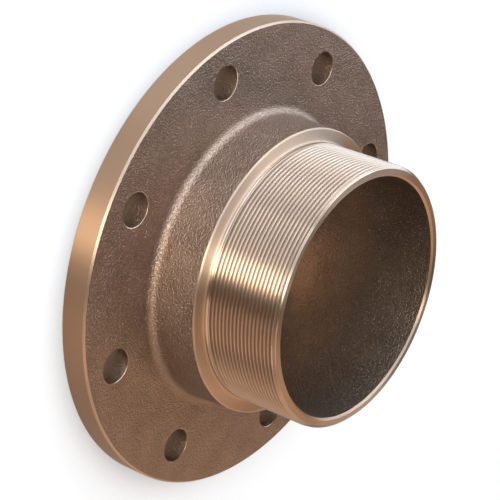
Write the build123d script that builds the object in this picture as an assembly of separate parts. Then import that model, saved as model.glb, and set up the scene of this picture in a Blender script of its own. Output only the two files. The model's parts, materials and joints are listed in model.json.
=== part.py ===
import os
from math import radians, tan

from build123d import *

# Screwed pipe flange, cast in one piece and machined.
# The pipe axis is Z, the flat back face lies at Z = 0 and the threaded mouth points up.
# All lengths are in millimetres and all angles in degrees.

# Disc that bolts to the mating flange
flange_diameter = 250.0
flange_thickness = 14.3
rim_front_chamfer = 1.0
rim_back_chamfer = 0.4

# Ring of bolt holes, set astride the X and Y axes, with their centres a set distance in from the rim
bolt_count = 8
bolt_hole_inset = 20.0
bolt_hole_diameter = 18.0
bolt_hole_chamfer = 0.2

# Cast hub between the disc and the shoulder, a little wider at its foot
hub_diameter = 152.6
hub_length = 27.0
hub_draft_angle = 1.9
hub_foot_fillet = 4.5
shoulder_chamfer = 0.7

# Male parallel pipe thread, 5 inch size, 11 threads to the inch
# Plain ring grooves, as deep and as far apart as the thread's, stand for its helix above a plain strip.
thread_diameter = 138.43
thread_length = 44.2
thread_pitch = 25.4 / 11
thread_depth = 1.479
thread_crest_width = 0.6
thread_foot_strip = 2.0
thread_foot_fillet = 1.0
thread_lead_chamfer = 1.8

# Bore through the whole casting
bore_diameter = 126.8
mouth_bevel_width = 1.2
mouth_bevel_depth = 0.8
bore_back_chamfer = 0.8


def nearest_corner(section, point):
    return section.vertices().sort_by_distance(point)[0]


def thread_grooves(crest_radius, foot_z, end_z):
    """Points of the grooves that fit between two heights, from the lowest up, with a crest at the upper one."""
    groove_count = int((end_z - foot_z) / thread_pitch)
    points = []
    for groove in range(groove_count, 0, -1):
        low_crest_z = end_z - groove * thread_pitch
        high_crest_z = low_crest_z + thread_pitch
        points += [
            (crest_radius, low_crest_z + thread_crest_width / 2),
            (crest_radius - thread_depth, low_crest_z + thread_pitch / 2),
            (crest_radius, high_crest_z - thread_crest_width / 2),
        ]
    return points


def flange_profile():
    """Half section in the XZ plane: X is the radius, Z the height above the back face."""
    rim_radius = flange_diameter / 2
    hub_radius = hub_diameter / 2
    thread_radius = thread_diameter / 2
    bore_radius = bore_diameter / 2
    shoulder_z = flange_thickness + hub_length
    mouth_z = shoulder_z + thread_length
    hub_foot_radius = hub_radius + hub_length * tan(radians(hub_draft_angle))

    back_bore_edge = (bore_radius + bore_back_chamfer, 0)
    back_rim_edge = (rim_radius - rim_back_chamfer, 0)
    rim_foot = (rim_radius, rim_back_chamfer)
    rim_top = (rim_radius, flange_thickness - rim_front_chamfer)
    face_edge = (rim_radius - rim_front_chamfer, flange_thickness)
    hub_foot = (hub_foot_radius, flange_thickness)
    hub_top = (hub_radius, shoulder_z - shoulder_chamfer)
    shoulder_edge = (hub_radius - shoulder_chamfer, shoulder_z)
    thread_foot = (thread_radius, shoulder_z)
    thread_end = (thread_radius, mouth_z - thread_lead_chamfer)
    first_groove_z = shoulder_z + thread_foot_fillet + thread_foot_strip
    mouth_outer_edge = (thread_radius - thread_lead_chamfer, mouth_z)
    mouth_inner_edge = (bore_radius + mouth_bevel_width, mouth_z)
    bore_top = (bore_radius, mouth_z - mouth_bevel_depth)
    bore_foot = (bore_radius, bore_back_chamfer)

    outline = Polyline(
        back_bore_edge,
        back_rim_edge,
        rim_foot,
        rim_top,
        face_edge,
        hub_foot,
        hub_top,
        shoulder_edge,
        thread_foot,
        *thread_grooves(thread_radius, first_groove_z, mouth_z - thread_lead_chamfer),
        thread_end,
        mouth_outer_edge,
        mouth_inner_edge,
        bore_top,
        bore_foot,
        close=True,
    )
    section = make_face(outline)
    section = fillet(nearest_corner(section, hub_foot), hub_foot_fillet)
    section = fillet(nearest_corner(section, thread_foot), thread_foot_fillet)
    return Plane.XZ * section


def bolt_hole_cutter():
    """One drilled hole with a broken edge at each face of the disc."""
    radius = bolt_hole_diameter / 2
    edge_radius = radius + bolt_hole_chamfer
    outline = Polyline(
        (0, 0),
        (edge_radius, 0),
        (radius, bolt_hole_chamfer),
        (radius, flange_thickness - bolt_hole_chamfer),
        (edge_radius, flange_thickness),
        (0, flange_thickness),
        close=True,
    )
    return revolve(Plane.XZ * make_face(outline), axis=Axis.Z)


def build_flange():
    body = revolve(flange_profile(), axis=Axis.Z)
    cutter = bolt_hole_cutter()
    bolt_circle_radius = flange_diameter / 2 - bolt_hole_inset
    first_angle = 180 / bolt_count
    for seat in PolarLocations(bolt_circle_radius, bolt_count, start_angle=first_angle):
        body -= seat * cutter
    return body


if __name__ == "__main__":
    os.makedirs("parts", exist_ok=True)
    flange = build_flange()
    flange.label = "pipe_flange"
    export_step(flange, "parts/pipe_flange.step")
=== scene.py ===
import json
from math import atan2, ceil, cos, pi, radians, sin, tan

import bmesh
import bpy
from mathutils import Matrix, Quaternion, Vector


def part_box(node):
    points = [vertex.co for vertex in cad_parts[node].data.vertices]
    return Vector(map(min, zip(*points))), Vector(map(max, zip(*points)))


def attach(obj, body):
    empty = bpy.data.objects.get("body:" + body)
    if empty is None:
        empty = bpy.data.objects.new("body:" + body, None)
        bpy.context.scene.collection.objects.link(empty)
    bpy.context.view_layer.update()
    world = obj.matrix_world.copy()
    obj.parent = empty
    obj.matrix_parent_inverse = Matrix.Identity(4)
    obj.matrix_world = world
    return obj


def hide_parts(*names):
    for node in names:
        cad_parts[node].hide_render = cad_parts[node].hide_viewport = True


# A one-piece pipe flange: a sand casting in bronze, turned on its rim, back, shoulder and mouth,
# drilled with a ring of bolt holes and threaded outside its neck.
# It rests on its back face, with the pipe axis up along Z.
# Lengths are in millimetres until the finished mesh is scaled to metres. The studio's are in metres.

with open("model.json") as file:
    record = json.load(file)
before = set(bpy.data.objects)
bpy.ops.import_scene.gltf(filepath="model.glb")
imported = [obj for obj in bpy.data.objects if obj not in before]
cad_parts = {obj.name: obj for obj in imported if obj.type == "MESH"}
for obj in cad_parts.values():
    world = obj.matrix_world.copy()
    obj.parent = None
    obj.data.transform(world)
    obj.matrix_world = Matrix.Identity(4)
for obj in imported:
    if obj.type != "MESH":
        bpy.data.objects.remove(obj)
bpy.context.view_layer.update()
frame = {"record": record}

MM = 0.001
PIECE = "pipe_flange"
mounts = {mount["name"]: mount["dims"] for mount in frame["record"]["mounts"]}
part_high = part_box(PIECE)[1] / MM

# Sizes that the frame gives
rim_radius = part_high.x
mouth_height = part_high.z
bolt_count = mounts["bolt_circle"]["count"]
bolt_circle_radius = mounts["bolt_circle"]["pcd_mm"] / 2
bolt_hole_radius = mounts["bolt_circle"]["hole_r_mm"]
thread_radius = mounts["male_thread"]["r_mm"]
bore_radius = mounts["bore"]["r_mm"]

# Sizes of the edges and the hub
disc_thickness = 14.3
rim_front_chamfer = 1.0
rim_back_chamfer = 0.4
hole_chamfer = 0.2
shoulder_height = 41.3
shoulder_radius = 76.3
shoulder_chamfer = 0.7
hub_foot_radius = 77.196
hub_foot_fillet = 4.5
thread_foot_fillet = 1.0
lead_chamfer = 1.8
mouth_bevel_width = 1.2
mouth_bevel_depth = 0.8
bore_back_chamfer = 0.8

# Pipe thread, 11 to the inch, with 55 degree grooves and rounded crests and roots
thread_pitch = 25.4 / 11
thread_depth = 0.6403 * thread_pitch
thread_rounding = 0.1373 * thread_pitch
flank_angle = radians(27.5)
runout_length = 3.2
crest_height_on_x = 81.85

# Soft unevenness that the mould leaves on the cast skin
unevenness_height = 0.5
unevenness_width = 9.0
unevenness_seed = 4.0

# Mesh divisions, with the radius at which the drilled ring meets the skins inside it
hole_band_inner_radius = 84.0
segments = 320
sector_side_steps = 16
hole_rings = 12
hole_rows = 4
rim_rows = 4
front_rows = 2
fillet_rows = 8
hub_rows = 12
shoulder_rows = 3
foot_rows = 4
mouth_rows = 2
bore_rows = 34
back_rows = 3

# Gap that a seam between two skins closes, and the least bend that stays a sharp edge
seam_gap = 0.002
sharp_edge_angle = radians(32)

# Studio, in metres
floor_half_width = 3.0
lamp_distance = 1.3
part_middle = Vector((0, 0, 0.03))

# Finishes, numbered as the piece's material slots: the two as-cast ones come first
CAST, CORED, RIM, TURNED, FACED, THREADED, DRILLED = range(7)


def colour(code):
    """An sRGB hex colour as a linear RGBA value."""
    channels = [int(code[k:k + 2], 16) / 255 for k in (1, 3, 5)]
    linear = [c / 12.92 if c <= 0.04045 else ((c + 0.055) / 1.055) ** 2.4 for c in channels]
    return (*linear, 1.0)


def add(tree, kind, sockets=(), **options):
    """Adds a node, sets its options, and fills its sockets with values, nodes or other nodes' outputs."""
    node = tree.nodes.new(kind)
    for option, value in options.items():
        setattr(node, option, value)
    for socket, value in dict(sockets).items():
        source = value.outputs[0] if isinstance(value, bpy.types.Node) else value
        if isinstance(source, bpy.types.NodeSocket):
            tree.links.new(source, node.inputs[socket])
        else:
            node.inputs[socket].default_value = source
    return node


def new_tree(name, **inputs):
    """An empty geometry tree with named inputs, and its input and output nodes."""
    tree = bpy.data.node_groups.new(name, "GeometryNodeTree")
    tree.interface.new_socket("Geometry", in_out="INPUT", socket_type="NodeSocketGeometry")
    tree.interface.new_socket("Geometry", in_out="OUTPUT", socket_type="NodeSocketGeometry")
    for label, kind in inputs.items():
        tree.interface.new_socket(label.replace("_", " "), in_out="INPUT", socket_type="NodeSocket" + kind)
    return tree, add(tree, "NodeGroupInput"), add(tree, "NodeGroupOutput")


def grow(tree, mesh, **inputs):
    """Runs a geometry tree on a mesh and returns the plain mesh that it makes."""
    carrier = bpy.data.objects.new(tree.name, mesh)
    bpy.context.scene.collection.objects.link(carrier)
    modifier = carrier.modifiers.new(tree.name, "NODES")
    modifier.node_group = tree
    values = {label.replace("_", " "): value for label, value in inputs.items()}
    for item in tree.interface.items_tree:
        if item.in_out == "INPUT" and item.name in values:
            modifier[item.identifier] = values[item.name]
    graph = bpy.context.evaluated_depsgraph_get()
    made = bpy.data.meshes.new_from_object(carrier.evaluated_get(graph), depsgraph=graph)
    bpy.data.objects.remove(carrier)
    return made


def end_tree(tree, geometry, given, out):
    """Closes a tree: real geometry, one finish, and the output."""
    real = add(tree, "GeometryNodeRealizeInstances", {"Geometry": geometry})
    finished = add(tree, "GeometryNodeSetMaterial", {"Geometry": real, "Material": given.outputs["Material"]})
    tree.links.new(finished.outputs[0], out.inputs["Geometry"])


def lathe_tree():
    """Turns a half section round Z. Its points hold radius, nothing and height,
    and the finish of the strip that leads to them."""
    tree, given, out = new_tree("turned skin", Segments="Int", Material="Material")
    count = add(tree, "GeometryNodeAttributeDomainSize", {0: given.outputs["Geometry"]}, component="MESH")
    columns = add(tree, "FunctionNodeIntegerMath", {0: given.outputs["Segments"], 1: 1}, operation="ADD")
    grid = add(tree, "GeometryNodeMeshGrid", {"Vertices X": columns, "Vertices Y": count})
    index = add(tree, "GeometryNodeInputIndex")
    column = add(tree, "FunctionNodeIntegerMath", {0: index, 1: count}, operation="DIVIDE_FLOOR")
    row = add(tree, "FunctionNodeIntegerMath", {0: index, 1: count}, operation="FLOORED_MODULO")
    share = add(tree, "ShaderNodeMath", {0: column, 1: given.outputs["Segments"]}, operation="DIVIDE")
    angle = add(tree, "ShaderNodeMath", {0: share, 1: 2 * pi}, operation="MULTIPLY")
    place = add(tree, "GeometryNodeInputPosition")
    point = add(
        tree,
        "GeometryNodeSampleIndex",
        {0: given.outputs["Geometry"], 1: place, 2: row},
        data_type="FLOAT_VECTOR",
    )
    part = add(tree, "ShaderNodeSeparateXYZ", {0: point})
    cosine = add(tree, "ShaderNodeMath", {0: angle}, operation="COSINE")
    sine = add(tree, "ShaderNodeMath", {0: angle}, operation="SINE")
    x = add(tree, "ShaderNodeMath", {0: part.outputs["X"], 1: cosine}, operation="MULTIPLY")
    y = add(tree, "ShaderNodeMath", {0: part.outputs["X"], 1: sine}, operation="MULTIPLY")
    spot = add(tree, "ShaderNodeCombineXYZ", {0: x, 1: y, 2: part.outputs["Z"]})
    finish_name = add(tree, "GeometryNodeInputNamedAttribute", {"Name": "finish"}, data_type="INT")
    # Faces are counted as points are, with one row fewer, and each takes the finish of the row it leads to.
    strips = add(tree, "FunctionNodeIntegerMath", {0: count, 1: 1}, operation="SUBTRACT")
    strip = add(tree, "FunctionNodeIntegerMath", {0: index, 1: strips}, operation="FLOORED_MODULO")
    row_after = add(tree, "FunctionNodeIntegerMath", {0: strip, 1: 1}, operation="ADD")
    finish = add(
        tree,
        "GeometryNodeSampleIndex",
        {0: given.outputs["Geometry"], 1: finish_name, 2: row_after},
        data_type="INT",
    )
    stored = add(
        tree,
        "GeometryNodeStoreNamedAttribute",
        {0: grid, "Name": "finish", "Value": finish},
        data_type="INT",
        domain="FACE",
    )
    turned = add(tree, "GeometryNodeSetPosition", {0: stored, "Position": spot})
    end_tree(tree, turned, given, out)
    return tree


def ring_tree():
    """Sets copies of a sector round Z."""
    tree, given, out = new_tree("bolt circle", Count="Int", Material="Material")
    points = add(tree, "GeometryNodePoints", {"Count": given.outputs["Count"]})
    index = add(tree, "GeometryNodeInputIndex")
    share = add(tree, "ShaderNodeMath", {0: index, 1: given.outputs["Count"]}, operation="DIVIDE")
    angle = add(tree, "ShaderNodeMath", {0: share, 1: 2 * pi}, operation="MULTIPLY")
    turn = add(tree, "ShaderNodeCombineXYZ", {2: angle})
    rotation = add(tree, "FunctionNodeEulerToRotation", {0: turn})
    copies = add(
        tree,
        "GeometryNodeInstanceOnPoints",
        {"Points": points, "Instance": given.outputs["Geometry"], "Rotation": rotation},
    )
    end_tree(tree, copies, given, out)
    return tree


def thread_tree():
    """Winds one pitch of a thread's section round Z as a right-hand helix between two planes.
    The section's points hold depth, nothing and height. The grooves fade in at the low plane,
    and a 45 degree lead chamfer cuts them at the high one."""
    tree, given, out = new_tree(
        "helical thread",
        Segments="Int",
        Turns="Int",
        Pitch="Float",
        Crest_Radius="Float",
        First_Crest="Float",
        Low="Float",
        High="Float",
        Runout="Float",
        Lead_Chamfer="Float",
        Finish="Int",
        Material="Material",
    )
    count = add(tree, "GeometryNodeAttributeDomainSize", {0: given.outputs["Geometry"]}, component="MESH")
    steps = add(tree, "FunctionNodeIntegerMath", {0: given.outputs["Turns"], 1: count}, operation="MULTIPLY")
    rows = add(tree, "FunctionNodeIntegerMath", {0: steps, 1: 1}, operation="ADD")
    columns = add(tree, "FunctionNodeIntegerMath", {0: given.outputs["Segments"], 1: 1}, operation="ADD")
    grid = add(tree, "GeometryNodeMeshGrid", {"Vertices X": columns, "Vertices Y": rows})
    index = add(tree, "GeometryNodeInputIndex")
    column = add(tree, "FunctionNodeIntegerMath", {0: index, 1: rows}, operation="DIVIDE_FLOOR")
    row = add(tree, "FunctionNodeIntegerMath", {0: index, 1: rows}, operation="FLOORED_MODULO")
    share = add(tree, "ShaderNodeMath", {0: column, 1: given.outputs["Segments"]}, operation="DIVIDE")
    angle = add(tree, "ShaderNodeMath", {0: share, 1: 2 * pi}, operation="MULTIPLY")
    whole = add(tree, "FunctionNodeIntegerMath", {0: row, 1: count}, operation="DIVIDE_FLOOR")
    phase = add(tree, "FunctionNodeIntegerMath", {0: row, 1: count}, operation="FLOORED_MODULO")
    place = add(tree, "GeometryNodeInputPosition")
    point = add(
        tree,
        "GeometryNodeSampleIndex",
        {0: given.outputs["Geometry"], 1: place, 2: phase},
        data_type="FLOAT_VECTOR",
    )
    part = add(tree, "ShaderNodeSeparateXYZ", {0: point})
    # Each turn climbs by one pitch.
    turned = add(tree, "ShaderNodeMath", {0: whole, 1: share}, operation="ADD")
    climb = add(
        tree,
        "ShaderNodeMath",
        {0: turned, 1: given.outputs["Pitch"], 2: part.outputs["Z"]},
        operation="MULTIPLY_ADD",
    )
    wound = add(tree, "ShaderNodeMath", {0: climb, 1: given.outputs["First Crest"]}, operation="ADD")
    above_low = add(tree, "ShaderNodeMath", {0: wound, 1: given.outputs["Low"]}, operation="MAXIMUM")
    height = add(tree, "ShaderNodeMath", {0: above_low, 1: given.outputs["High"]}, operation="MINIMUM")
    runout_end = add(
        tree,
        "ShaderNodeMath",
        {0: given.outputs["Low"], 1: given.outputs["Runout"]},
        operation="ADD",
    )
    fade = add(
        tree,
        "ShaderNodeMapRange",
        {"Value": height, 1: given.outputs["Low"], 2: runout_end},
        interpolation_type="SMOOTHSTEP",
    )
    cut = add(tree, "ShaderNodeMath", {0: part.outputs["X"], 1: fade}, operation="MULTIPLY")
    wound_radius = add(
        tree,
        "ShaderNodeMath",
        {0: given.outputs["Crest Radius"], 1: cut},
        operation="SUBTRACT",
    )
    to_go = add(tree, "ShaderNodeMath", {0: given.outputs["High"], 1: height}, operation="SUBTRACT")
    spare = add(tree, "ShaderNodeMath", {0: to_go, 1: given.outputs["Lead Chamfer"]}, operation="SUBTRACT")
    cone_radius = add(tree, "ShaderNodeMath", {0: given.outputs["Crest Radius"], 1: spare}, operation="ADD")
    radius = add(tree, "ShaderNodeMath", {0: wound_radius, 1: cone_radius}, operation="MINIMUM")
    cosine = add(tree, "ShaderNodeMath", {0: angle}, operation="COSINE")
    sine = add(tree, "ShaderNodeMath", {0: angle}, operation="SINE")
    x = add(tree, "ShaderNodeMath", {0: radius, 1: cosine}, operation="MULTIPLY")
    y = add(tree, "ShaderNodeMath", {0: radius, 1: sine}, operation="MULTIPLY")
    spot = add(tree, "ShaderNodeCombineXYZ", {0: x, 1: y, 2: height})
    placed = add(tree, "GeometryNodeSetPosition", {0: grid, "Position": spot})
    stored = add(
        tree,
        "GeometryNodeStoreNamedAttribute",
        {0: placed, "Name": "finish", "Value": given.outputs["Finish"]},
        data_type="INT",
        domain="FACE",
    )
    end_tree(tree, stored, given, out)
    return tree


def cast_skin_tree():
    """Raises and sinks the as-cast skin by the soft unevenness that the sand mould leaves."""
    tree, given, out = new_tree("cast skin", Height="Float", Width="Float", Seed="Float", Material="Material")
    finish = add(tree, "GeometryNodeInputNamedAttribute", {"Name": "finish"}, data_type="INT")
    is_cast = add(tree, "FunctionNodeCompare", {2: finish, 3: CORED}, data_type="INT", operation="LESS_EQUAL")
    on_faces = add(tree, "GeometryNodeFieldOnDomain", {0: is_cast}, data_type="FLOAT", domain="FACE")
    # Points on a machined edge touch other faces too, so their mean is below one and they stay.
    free = add(tree, "GeometryNodeFieldOnDomain", {0: on_faces}, data_type="FLOAT", domain="POINT")
    whole = add(tree, "ShaderNodeMath", {0: free, 1: 0.999}, operation="GREATER_THAN")
    fineness = add(tree, "ShaderNodeMath", {0: 1.0, 1: given.outputs["Width"]}, operation="DIVIDE")
    place = add(tree, "GeometryNodeInputPosition")
    noise = add(
        tree,
        "ShaderNodeTexNoise",
        {"Vector": place, "W": given.outputs["Seed"], "Scale": fineness, "Detail": 2.0},
        noise_dimensions="4D",
    )
    middle = add(tree, "ShaderNodeMath", {0: noise, 1: 0.5}, operation="SUBTRACT")
    raised = add(tree, "ShaderNodeMath", {0: middle, 1: given.outputs["Height"]}, operation="MULTIPLY")
    amount = add(tree, "ShaderNodeMath", {0: raised, 1: whole}, operation="MULTIPLY")
    normal = add(tree, "GeometryNodeInputNormal")
    offset = add(tree, "ShaderNodeVectorMath", {0: normal, "Scale": amount}, operation="SCALE")
    moved = add(tree, "GeometryNodeSetPosition", {0: given.outputs["Geometry"], "Offset": offset})
    end_tree(tree, moved, given, out)
    return tree


def arc(centre, radius, start, end, steps):
    """Points along an arc in degrees, after its first one."""
    angles = [radians(start + (end - start) * k / steps) for k in range(1, steps + 1)]
    return [(centre[0] + radius * cos(a), centre[1] + radius * sin(a)) for a in angles]


def line(start, end, steps):
    """Points along a straight line, after its first one."""
    return [
        (start[0] + (end[0] - start[0]) * k / steps, start[1] + (end[1] - start[1]) * k / steps)
        for k in range(1, steps + 1)
    ]


def turned_skin(tree, material, start, stretches):
    """The surface that a half section sweeps, from its first point and its stretches of one finish each."""
    rows = [start]
    finishes = [TURNED]
    for finish, points in stretches:
        rows += points
        finishes += [finish] * len(points)
    profile = bpy.data.meshes.new("section")
    profile.from_pydata([(radius, 0.0, height) for radius, height in rows], [], [])
    profile.attributes.new("finish", "INT", "POINT").data.foreach_set("value", finishes)
    return grow(tree, profile, Segments=segments, Material=material)


def rim_skin(tree, material):
    """Turned rim with its front chamfer and broken back edge."""
    face_edge = (rim_radius - rim_front_chamfer, disc_thickness)
    rim_top = (rim_radius, disc_thickness - rim_front_chamfer)
    rim_foot = (rim_radius, rim_back_chamfer)
    back_edge = (rim_radius - rim_back_chamfer, 0.0)
    return turned_skin(
        tree,
        material,
        face_edge,
        [
            (TURNED, [rim_top]),
            (RIM, line(rim_top, rim_foot, rim_rows)),
            (RIM, [back_edge]),
        ],
    )


def hub_skin(tree, material):
    """As-cast hub with its fillet, then the turned shoulder up to the thread's foot."""
    wall_top = (shoulder_radius, shoulder_height - shoulder_chamfer)
    foot = (hub_foot_radius, disc_thickness)
    lean = atan2(foot[0] - wall_top[0], wall_top[1] - foot[1])
    centre_height = disc_thickness + hub_foot_fillet
    wall_there = foot[0] - hub_foot_fillet * tan(lean)
    centre = (wall_there + hub_foot_fillet / cos(lean), centre_height)
    band_start = (hole_band_inner_radius, disc_thickness)
    fillet_start = (centre[0], disc_thickness)
    lean_degrees = lean * 180 / pi
    fillet = arc(centre, hub_foot_fillet, 270, 180 + lean_degrees, fillet_rows)
    shoulder_edge = (shoulder_radius - shoulder_chamfer, shoulder_height)
    foot_centre = (thread_radius + thread_foot_fillet, shoulder_height + thread_foot_fillet)
    foot_start = (foot_centre[0], shoulder_height)
    return turned_skin(
        tree,
        material,
        band_start,
        [
            (CAST, line(band_start, fillet_start, front_rows)),
            (CAST, fillet),
            (CAST, line(fillet[-1], wall_top, hub_rows)),
            (TURNED, [shoulder_edge]),
            (TURNED, line(shoulder_edge, foot_start, shoulder_rows)),
            (TURNED, arc(foot_centre, thread_foot_fillet, 270, 180, foot_rows)),
        ],
    )


def bore_skin(tree, material):
    """Turned mouth, as-cast bore and the turned ring of the back face inside the bolt holes."""
    mouth_edge = (thread_radius - lead_chamfer, mouth_height)
    bevel_edge = (bore_radius + mouth_bevel_width, mouth_height)
    bore_top = (bore_radius, mouth_height - mouth_bevel_depth)
    bore_foot = (bore_radius, bore_back_chamfer)
    back_edge = (bore_radius + bore_back_chamfer, 0.0)
    band_edge = (hole_band_inner_radius, 0.0)
    return turned_skin(
        tree,
        material,
        mouth_edge,
        [
            (FACED, line(mouth_edge, bevel_edge, mouth_rows)),
            (TURNED, [bore_top]),
            (CORED, line(bore_top, bore_foot, bore_rows)),
            (TURNED, [back_edge]),
            (TURNED, line(back_edge, band_edge, back_rows)),
        ],
    )


def sector_edge(inner, outer):
    """Points round one sector of the disc, anticlockwise from its outer corner before the hole."""
    half = pi / bolt_count
    across = segments // bolt_count
    angles = [-half + 2 * half * k / across for k in range(across)]
    shares = [k / sector_side_steps for k in range(sector_side_steps)]
    out_arc = [(outer * cos(a), outer * sin(a)) for a in angles]
    in_arc = [(inner * cos(-a), inner * sin(-a)) for a in angles]
    radii_in = [outer + (inner - outer) * s for s in shares]
    radii_out = [inner + (outer - inner) * s for s in shares]
    side_in = [(r * cos(half), r * sin(half)) for r in radii_in]
    side_out = [(r * cos(-half), r * sin(-half)) for r in radii_out]
    return out_arc + side_in + in_arc + side_out


def drilled_sector():
    """One sector of the disc, front and back, with its bolt hole."""
    front_edge = sector_edge(hole_band_inner_radius, rim_radius - rim_front_chamfer)
    back_edge = sector_edge(hole_band_inner_radius, rim_radius - rim_back_chamfer)
    count = len(front_edge)
    across = segments // bolt_count

    def spoke(k):
        """Direction from the hole's centre to its k-th point: halfway between even and towards the edge."""
        x, y = front_edge[k]
        seen = atan2(y, x - bolt_circle_radius)
        even = (k - across / 2) * 2 * pi / count
        seen += 2 * pi * round((even - seen) / (2 * pi))
        return (seen + even) / 2

    spokes = [spoke(k) for k in range(count)]
    wide = bolt_hole_radius + hole_chamfer

    def hole_ring(radius, height):
        return [(bolt_circle_radius + radius * cos(a), radius * sin(a), height) for a in spokes]

    def blended(edge, height, share):
        near = hole_ring(wide, height)
        return [
            (n[0] + (e[0] - n[0]) * share, n[1] + (e[1] - n[1]) * share, height)
            for n, e in zip(near, edge)
        ]

    rings = [blended(front_edge, disc_thickness, 1 - k / hole_rings) for k in range(hole_rings + 1)]
    finishes = [CAST] * hole_rings
    wall_top = disc_thickness - hole_chamfer
    wall = line((0.0, wall_top), (0.0, hole_chamfer), hole_rows)
    rings.append(hole_ring(bolt_hole_radius, wall_top))
    rings += [hole_ring(bolt_hole_radius, height) for _, height in wall]
    finishes += [TURNED] + [DRILLED] * len(wall)
    back_shares = (0.0, 0.15, 0.5, 1.0)
    rings += [blended(back_edge, 0.0, share) for share in back_shares]
    finishes += [TURNED] * len(back_shares)

    half_turn = Matrix.Rotation(pi / bolt_count, 3, "Z")
    points = [half_turn @ Vector(point) for ring in rings for point in ring]
    faces = []
    for level in range(len(rings) - 1):
        low, high = level * count, (level + 1) * count
        for k in range(count):
            following = (k + 1) % count
            faces.append((low + k, low + following, high + following, high + k))
    mesh = bpy.data.meshes.new("drilled sector")
    mesh.from_pydata(points, [], faces)
    per_face = [finish for finish in finishes for _ in range(count)]
    mesh.attributes.new("finish", "INT", "FACE").data.foreach_set("value", per_face)
    return mesh


def thread_skin(material):
    """Neck's thread, with a crest at a set height on the X axis."""
    arc_width = thread_rounding * cos(flank_angle)
    arc_depth = thread_rounding * (1 - sin(flank_angle))
    crest_side = (arc_depth, arc_width)
    root_side = (thread_depth - arc_depth, thread_pitch / 2 - arc_width)
    flank_middle = ((crest_side[0] + root_side[0]) / 2, (crest_side[1] + root_side[1]) / 2)
    root = (thread_depth, thread_pitch / 2)
    falling = [(0.0, 0.0), crest_side, flank_middle, root_side, root]
    rising = [(depth, thread_pitch - height) for depth, height in falling[3:0:-1]]
    profile = bpy.data.meshes.new("one pitch")
    profile.from_pydata([(depth, 0.0, height) for depth, height in falling + rising], [], [])

    low = shoulder_height + thread_foot_fillet
    turns_below = ceil((crest_height_on_x - low) / thread_pitch) + 1
    first_crest = crest_height_on_x - turns_below * thread_pitch
    return grow(
        thread_tree(),
        profile,
        Segments=segments,
        Turns=ceil((mouth_height - first_crest) / thread_pitch),
        Pitch=thread_pitch,
        Crest_Radius=thread_radius,
        First_Crest=first_crest,
        Low=low,
        High=mouth_height,
        Runout=runout_length,
        Lead_Chamfer=lead_chamfer,
        Finish=THREADED,
        Material=material,
    )


def joined(meshes):
    """One closed mesh from its skins, with their seams merged and its faces pointing outwards."""
    whole = bmesh.new()
    for mesh in meshes:
        whole.from_mesh(mesh)
    bmesh.ops.remove_doubles(whole, verts=whole.verts, dist=seam_gap)
    bmesh.ops.recalc_face_normals(whole, faces=whole.faces)
    mesh = bpy.data.meshes.new("flange casting")
    whole.to_mesh(mesh)
    whole.free()
    return mesh


def build_flange(materials):
    """The finished casting, which stands for the plain solid. It takes each face's finish from its skins."""
    lathe = lathe_tree()
    skins = [
        rim_skin(lathe, materials[RIM]),
        hub_skin(lathe, materials[CAST]),
        bore_skin(lathe, materials[CORED]),
        grow(ring_tree(), drilled_sector(), Count=bolt_count, Material=materials[CAST]),
        thread_skin(materials[THREADED]),
    ]
    mesh = grow(
        cast_skin_tree(),
        joined(skins),
        Height=unevenness_height,
        Width=unevenness_width,
        Seed=unevenness_seed,
        Material=materials[CAST],
    )
    mesh.transform(Matrix.Scale(MM, 4))
    mesh.materials.clear()
    for material in materials:
        mesh.materials.append(material)
    finishes = [0] * len(mesh.polygons)
    mesh.attributes["finish"].data.foreach_get("value", finishes)
    mesh.polygons.foreach_set("material_index", finishes)
    mesh.shade_smooth()
    mesh.set_sharp_from_angle(angle=sharp_edge_angle)
    piece = bpy.data.objects.new("flange_casting", mesh)
    bpy.context.scene.collection.objects.link(piece)
    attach(piece, "root")
    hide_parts(PIECE)


def new_material(name):
    """A material with only its output, and that output."""
    material = bpy.data.materials.new(name)
    material.use_nodes = True
    material.node_tree.nodes.clear()
    return material, material.node_tree, add(material.node_tree, "ShaderNodeOutputMaterial")


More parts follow.
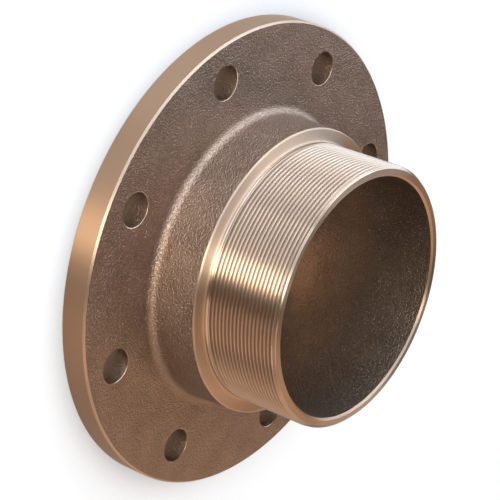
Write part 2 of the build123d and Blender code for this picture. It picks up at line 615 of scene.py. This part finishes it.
def sand_cast_bronze(name, dark, light, roughness, wall_grain):
    """As-cast skin: dull brown metal under a thin oxide, pebbled where the mould's sand printed into it.
    The depth of its grain on steep walls is in millimetres."""
    material, tree, out = new_material(name)
    place = add(tree, "ShaderNodeTexCoord").outputs["Object"]
    # Sand of 0.3 mm is too fine to show, so its grains are drawn at 0.5 mm, on rounded pebbles.
    grit_size = 0.5 * MM
    pebble_size = 1.1 * MM
    grit = add(tree, "ShaderNodeTexNoise", {"Vector": place, "Scale": 1 / grit_size, "Detail": 0.0})
    pebbles = add(
        tree,
        "ShaderNodeTexVoronoi",
        {"Vector": place, "Scale": 1 / pebble_size, "Smoothness": 0.4},
        feature="SMOOTH_F1",
    )
    grain = add(tree, "ShaderNodeMath", {0: pebbles, 1: -0.9, 2: grit}, operation="MULTIPLY_ADD")
    # Here and there a loose grain has left a pimple that catches the light.
    pimple_size = 0.8 * MM
    spots = add(tree, "ShaderNodeTexNoise", {"Vector": place, "Scale": 1 / pimple_size, "Detail": 0.0})
    pimples = add(tree, "ShaderNodeMapRange", {"Value": spots, 1: 0.64, 2: 0.74, 3: 0.0, 4: 1.1})
    height = add(tree, "ShaderNodeMath", {0: grain, 1: pimples}, operation="ADD")
    # The oxide is darker and lighter in soft blotches.
    blotch_size = 14 * MM
    blotch = add(tree, "ShaderNodeTexNoise", {"Vector": place, "Scale": 1 / blotch_size, "Detail": 3.0})
    tone = add(
        tree,
        "ShaderNodeMix",
        {0: blotch, 6: colour(dark), 7: colour(light)},
        data_type="RGBA",
    )
    # The steep walls above the disc have coarser grain than its flat, and their colour is made darker.
    flat_grain = 0.2
    wall_darkening = 0.12
    flat_top = disc_thickness * MM
    wall_foot = flat_top + hub_foot_fillet * MM
    level = add(tree, "ShaderNodeSeparateXYZ", {0: place}).outputs["Z"]
    wall = add(tree, "ShaderNodeMapRange", {"Value": level, 1: flat_top, 2: wall_foot})
    relief = add(
        tree,
        "ShaderNodeMath",
        {0: wall, 1: (wall_grain - flat_grain) * MM, 2: flat_grain * MM},
        operation="MULTIPLY_ADD",
    )
    # Painted shade: the colour is darker in the grain's hollows and lighter on its tops.
    painted_pit_shade = add(tree, "ShaderNodeMapRange", {"Value": grain, 1: -0.25, 2: 0.45, 3: 0.9, 4: 1.1})
    shade = add(tree, "ShaderNodeMath", {0: wall, 1: -wall_darkening, 2: painted_pit_shade}, operation="MULTIPLY_ADD")
    shaded = add(
        tree,
        "ShaderNodeVectorMath",
        {0: tone.outputs[2], "Scale": shade},
        operation="SCALE",
    )
    bump = add(tree, "ShaderNodeBump", {"Strength": 1.0, "Distance": relief, "Height": height})
    surface = add(
        tree,
        "ShaderNodeBsdfPrincipled",
        {"Base Color": shaded, "Metallic": 0.96, "Roughness": roughness, "Normal": bump},
    )
    tree.links.new(surface.outputs[0], out.inputs["Surface"])
    return material


def machined_bronze(name, shade, roughness, anisotropy, mark_depth=0.003):
    """Bare metal off the lathe or the drill: bright, with the tool's fine feed lines,
    which fan its gloss out across them. The depth of the lines is in millimetres."""
    material, tree, out = new_material(name)
    place = add(tree, "ShaderNodeTexCoord").outputs["Object"]
    part = add(tree, "ShaderNodeSeparateXYZ", {0: place})
    flat = add(tree, "ShaderNodeCombineXYZ", {0: part.outputs["X"], 1: part.outputs["Y"]})
    radius = add(tree, "ShaderNodeVectorMath", {0: flat}, operation="LENGTH")
    section = add(tree, "ShaderNodeCombineXYZ", {0: radius.outputs["Value"], 2: part.outputs["Z"]})
    # The feed is finer than the render shows, so it is drawn at 0.7 mm.
    feed = 0.7 * MM
    lines = add(tree, "ShaderNodeTexNoise", {"Vector": section, "Scale": 1 / feed, "Detail": 2.0})
    bump = add(tree, "ShaderNodeBump", {"Strength": 1.0, "Distance": mark_depth * MM, "Height": lines})
    tangent = add(tree, "ShaderNodeTangent", direction_type="RADIAL", axis="Z")
    surface = add(
        tree,
        "ShaderNodeBsdfPrincipled",
        {
            "Base Color": colour(shade),
            "Metallic": 1.0,
            "Roughness": roughness,
            "Anisotropic": anisotropy,
            "Anisotropic Rotation": 0.25,
            "Tangent": tangent,
            "Normal": bump,
        },
    )
    tree.links.new(surface.outputs[0], out.inputs["Surface"])
    return material


def white_floor():
    """Pale studio floor that the camera sees as white, with the part's soft shadow on it: real shadow on its
    paint and painted shadow in its glow.
    """
    material, tree, out = new_material("white floor")
    rays = add(tree, "ShaderNodeLightPath")
    place = add(tree, "ShaderNodeTexCoord").outputs["Object"]
    away = add(tree, "ShaderNodeVectorMath", {0: place}, operation="LENGTH").outputs["Value"]
    # The lamps light the floor well near the part only, so the white that they leave short is made up.
    well_lit_radius = 0.5
    unlit_radius = 1.5
    near_white = 0.7
    far_white = 1.0
    white = add(
        tree,
        "ShaderNodeMapRange",
        {"Value": away, 1: well_lit_radius, 2: unlit_radius, 3: near_white, 4: far_white},
    )
    # Painted shadow: ambient occlusion darkens the floor's white near the part.
    shadow_reach = 0.06
    painted_contact_shadow = add(tree, "ShaderNodeAmbientOcclusion", {"Distance": shadow_reach}, samples=8)
    open_white = add(tree, "ShaderNodeMath", {0: painted_contact_shadow.outputs["AO"], 1: white}, operation="MULTIPLY")
    seen = add(
        tree,
        "ShaderNodeMath",
        {0: rays.outputs["Is Camera Ray"], 1: open_white},
        operation="MULTIPLY",
    )
    # The metal mirrors a dimmer floor than the camera sees, with a brighter ring under its bolt holes, which
    # is painted light seen through them.
    mirrored_floor = 0.154
    painted_light_ring = 0.35
    ring_half_width = 0.015
    beneath = add(
        tree,
        "ShaderNodeMath",
        {0: away, 1: bolt_circle_radius * MM, 2: ring_half_width},
        operation="COMPARE",
    )
    lit = add(tree, "ShaderNodeMapRange", {"Value": beneath, 3: mirrored_floor, 4: painted_light_ring})
    mirrored = add(tree, "ShaderNodeMath", {0: rays.outputs["Is Glossy Ray"], 1: lit}, operation="MULTIPLY")
    either = add(tree, "ShaderNodeMath", {0: seen, 1: mirrored}, operation="MAXIMUM")
    glow = add(tree, "ShaderNodeEmission", {"Color": colour("#FFFFFF"), "Strength": either})
    paint = add(tree, "ShaderNodeBsdfDiffuse", {"Color": colour("#8B8886")})
    both = add(tree, "ShaderNodeAddShader", {0: paint, 1: glow})
    tree.links.new(both.outputs[0], out.inputs["Surface"])
    return material


def build_floor():
    """Wide flat floor that the part rests on."""
    half = floor_half_width
    corners = [(-half, -half, 0), (half, -half, 0), (half, half, 0), (-half, half, 0)]
    mesh = bpy.data.meshes.new("floor")
    mesh.from_pydata(corners, [], [(0, 1, 2, 3)])
    mesh.materials.append(white_floor())
    floor = bpy.data.objects.new("floor", mesh)
    bpy.context.scene.collection.objects.link(floor)


def polar(distance, azimuth, elevation):
    """A point round the part in metres. Azimuth zero looks along +Y."""
    a, e = radians(azimuth), radians(elevation)
    return Vector((sin(a) * cos(e), -cos(a) * cos(e), sin(e))) * distance


def add_softbox(name, place, aim, width, height, power, shade):
    """A softbox at one point that faces another, with its sizes in metres and its power in watts."""
    data = bpy.data.lights.new(name, "AREA")
    data.shape = "RECTANGLE"
    data.size = width
    data.size_y = height
    data.energy = power
    data.color = colour(shade)[:3]
    lamp = bpy.data.objects.new(name, data)
    lamp.location = place
    lamp.rotation_mode = "QUATERNION"
    lamp.rotation_quaternion = (aim - place).to_track_quat("-Z", "Y")
    lamp.visible_camera = False
    bpy.context.scene.collection.objects.link(lamp)


def add_row(name, elevation, width, height, shade, powers):
    """A row of alike softboxes that face the part. The powers give one to each azimuth."""
    for azimuth, power in powers.items():
        place = polar(lamp_distance, azimuth, elevation)
        add_softbox(f"{name}_{azimuth}", place, part_middle, width, height, power, shade)


def light_studio():
    """White surround and the softboxes."""
    world = bpy.data.worlds.new("studio")
    world.use_nodes = True
    tree = world.node_tree
    tree.nodes.clear()
    out = add(tree, "ShaderNodeOutputWorld")
    # The camera sees the same white past the floor's edge as on it.
    surround = 0.1
    rays = add(tree, "ShaderNodeLightPath")
    strength = add(
        tree,
        "ShaderNodeMath",
        {0: rays.outputs["Is Camera Ray"], 1: surround},
        operation="MAXIMUM",
    )
    sky = add(tree, "ShaderNodeBackground", {"Color": colour("#FFFFFF"), "Strength": strength})
    tree.links.new(sky.outputs[0], out.inputs["Surface"])
    bpy.context.scene.world = world
    # Daylight comes through a wall of broad panes in two rows, with a few narrow bright slits beside it.
    add_row("low_pane", 17, 0.86, 0.62, "#CBE4FF", {-108: 8.0, -71: 11.5, -34: 13.5, 3: 8.0})
    add_row("high_pane", 47, 0.8, 0.7, "#DCE9F6", {-108: 2.9, -71: 3.9, -34: 2.7, 3: 6.6})
    add_row("low_slit", 14, 0.1, 0.6, "#FFF8E6", {26: 1.3, 31: 2.7, 36: 2.4, 41: 4.7})
    add_row("high_slit", 42, 0.1, 0.6, "#DAF0FF", {26: 0.9, 31: 2.1, 36: 1.3, 41: 2.3})
    # The room on the other side returns a faint warm light.
    add_row("low_fill", 17, 0.8, 0.62, "#FFE8D6", {83: 3.5, 118: 1.8, 153: 1.7})
    add_row("high_fill", 47, 0.8, 0.7, "#FFE4CC", {83: 0.7, 118: 0.6, 153: 1.5})
    add_row("back_fill", 30, 0.5, 1.0, "#FFD9B8", {186: 2.1})
    # Warm light that comes in under the open back end reaches the deepest wall of the bore.
    wall_azimuth = 207
    under_bore = polar(0.041, wall_azimuth, 5)
    up_the_wall = under_bore + polar(1, wall_azimuth, 85)
    add_softbox(
        "bore_glow",
        under_bore,
        up_the_wall,
        width=0.026,
        height=0.04,
        power=0.0045,
        shade="#FFD2A8",
    )


def place_camera():
    """Camera at the photograph's viewing angle, with the frame turned as the photograph has it."""
    data = bpy.data.cameras.new("camera")
    data.sensor_width = 36.0
    data.lens = 144.77
    camera = bpy.data.objects.new("camera", data)
    camera.location = Vector((343.694, -796.818, 595.174)) * MM
    aim = Vector((-3.093, -1.348, 13.289)) * MM
    roll = Quaternion((0, 0, 1), radians(110.647))
    camera.rotation_mode = "QUATERNION"
    camera.rotation_quaternion = (aim - camera.location).to_track_quat("-Z", "Y") @ roll
    bpy.context.scene.collection.objects.link(camera)
    bpy.context.scene.camera = camera


bpy.context.scene.view_settings.view_transform = "Standard"
finishes = [
    # Pebbled brown, and darker where a core shaped the bore
    sand_cast_bronze("sand-cast bronze", "#7B6453", "#9E8370", roughness=0.42, wall_grain=0.33),
    sand_cast_bronze("cored bronze", "#5E4C3F", "#786554", roughness=0.4, wall_grain=0.22),
    # Smooth metal with bright bands that sweep round with the tool's lines
    # The rim, the other turned faces and the faced mouth are one bronze in three copies, whose shades are
    # painted darker and lighter as shade and light.
    machined_bronze("turned rim bronze", "#AE896C", roughness=0.38, anisotropy=0.88),
    machined_bronze("turned bronze", "#C4A68D", roughness=0.5, anisotropy=0.95),
    machined_bronze("faced bronze", "#AC9079", roughness=0.38, anisotropy=0.95),
    machined_bronze("die-cut thread bronze", "#A38A76", roughness=0.28, anisotropy=0.85),
    # Rough walls in which the light breaks up
    machined_bronze("drilled bronze", "#8D745F", roughness=0.36, anisotropy=0.0, mark_depth=0.45),
]
build_flange(finishes)
build_floor()
light_studio()
place_camera()
